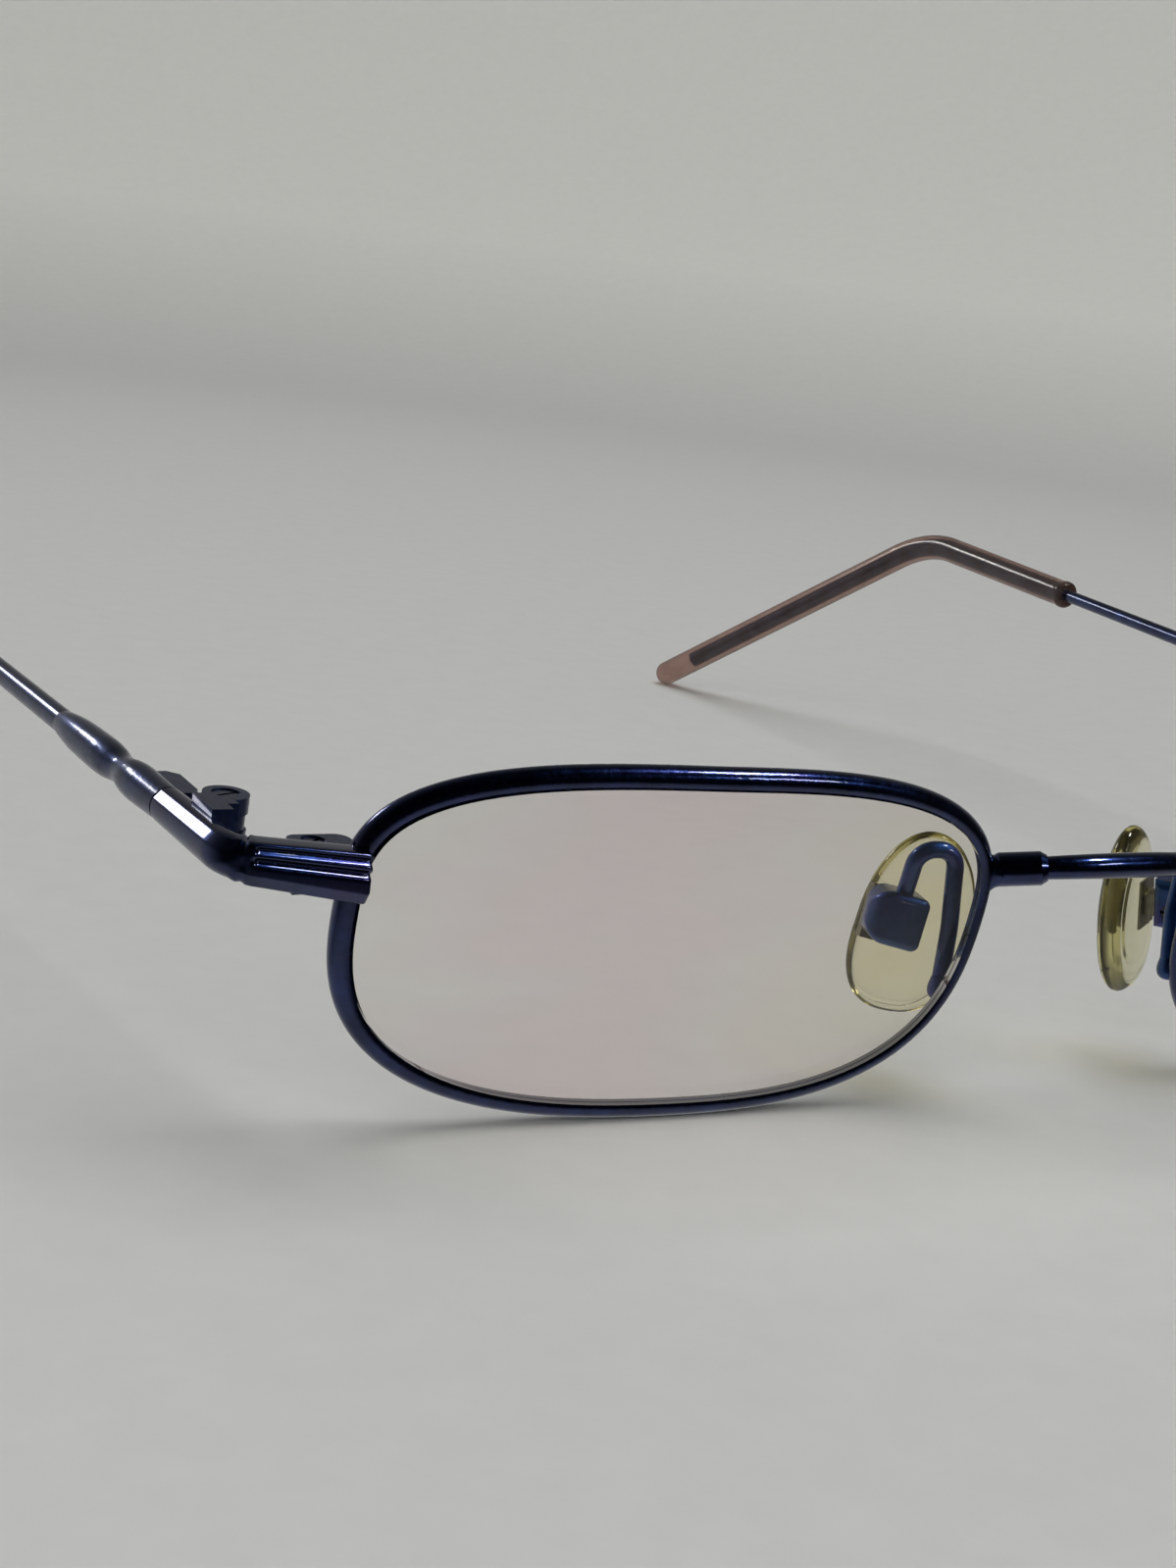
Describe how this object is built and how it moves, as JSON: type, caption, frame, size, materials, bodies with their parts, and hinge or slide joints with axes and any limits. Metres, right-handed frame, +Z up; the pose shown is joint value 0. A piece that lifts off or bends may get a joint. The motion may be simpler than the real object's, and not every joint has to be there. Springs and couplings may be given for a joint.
{
  "type": "metal full-rim eyeglasses",
  "caption": "Metal full-rim eyeglasses with narrow curved lenses, bowed bridge, adjustable nose pads, screw-hinged folding temples and sleeved tips.",
  "frame": {"origin": "bottom centre of the bounding box of the open pair, on the surface that the rims and temple tips stand on", "axes": "+X to the wearer's left, +Y from the lenses back along the temples, +Z up"},
  "size_m": [0.1466, 0.1592, 0.0281],
  "materials": {
    "navy_lacquer": "glossy dark navy lacquer over nickel alloy",
    "worn_navy_metal": "duller grey-blue lacquer on the hinge and closing blocks",
    "blue_pad_metal": "glossy mid-blue lacquer, thicker on the pad arms and boxes",
    "screw_steel": "lacquered screw heads",
    "insert_steel": "dull nickel",
    "coated_lens": "clear lens with a faint warm coating",
    "pad_vinyl": "clear soft vinyl, yellowed with age",
    "brown_tip_plastic": "translucent brown acetate"
  },
  "bodies": {
    "front": {"bridge_bar": "navy_lacquer", "lens_right": "coated_lens", "lens_left": "coated_lens", "rim_right": "navy_lacquer", "rim_left": "navy_lacquer", "bridge_ferrule_right": "navy_lacquer", "bridge_ferrule_left": "navy_lacquer", "endpiece_right": "navy_lacquer", "endpiece_left": "navy_lacquer", "closing_block_upper_right": "worn_navy_metal", "closing_block_upper_left": "worn_navy_metal", "closing_block_lower_right": "worn_navy_metal", "closing_block_lower_left": "worn_navy_metal", "rim_lock_screw_right": "screw_steel", "rim_lock_screw_left": "screw_steel", "hinge_front_right": "worn_navy_metal", "hinge_front_left": "worn_navy_metal", "hinge_screw_right": "screw_steel", "hinge_screw_left": "screw_steel", "pad_arm_right": "blue_pad_metal", "pad_arm_left": "blue_pad_metal", "pad_box_right": "blue_pad_metal", "pad_box_left": "blue_pad_metal", "pad_screw_right": "screw_steel", "pad_screw_left": "screw_steel"},
    "temple_right": {"hinge_temple_right": "worn_navy_metal", "temple_casting_right": "navy_lacquer", "temple_rod_right": "navy_lacquer", "temple_tip_right": "brown_tip_plastic"},
    "temple_left": {"hinge_temple_left": "worn_navy_metal", "temple_casting_left": "navy_lacquer", "temple_rod_left": "navy_lacquer", "temple_tip_left": "brown_tip_plastic"},
    "pad_right": {"nose_pad_right": "pad_vinyl", "pad_insert_right": "insert_steel"},
    "pad_left": {"nose_pad_left": "pad_vinyl", "pad_insert_left": "insert_steel"}
  },
  "joints": [
    {"name": "temple_right_fold", "type": "hinge", "parent": "front", "child": "temple_right", "pos_m": [-0.06442, -0.0659, 0.01953], "axis": [0, 0.0681, -0.9977], "range_deg": [0, 92]},
    {"name": "temple_left_fold", "type": "hinge", "parent": "front", "child": "temple_left", "pos_m": [0.06442, -0.0659, 0.01953], "axis": [0, -0.0681, 0.9977], "range_deg": [0, 84]},
    {"name": "nose_pad_right_rock", "type": "hinge", "parent": "front", "child": "pad_right", "pos_m": [-0.01421, -0.06991, 0.01252], "axis": [-0.8898, 0.4243, 0.1682], "range_deg": [-7, 7]},
    {"name": "nose_pad_left_rock", "type": "hinge", "parent": "front", "child": "pad_left", "pos_m": [0.01421, -0.06991, 0.01252], "axis": [0.8898, 0.4243, 0.1682], "range_deg": [-7, 7]}
  ]
}
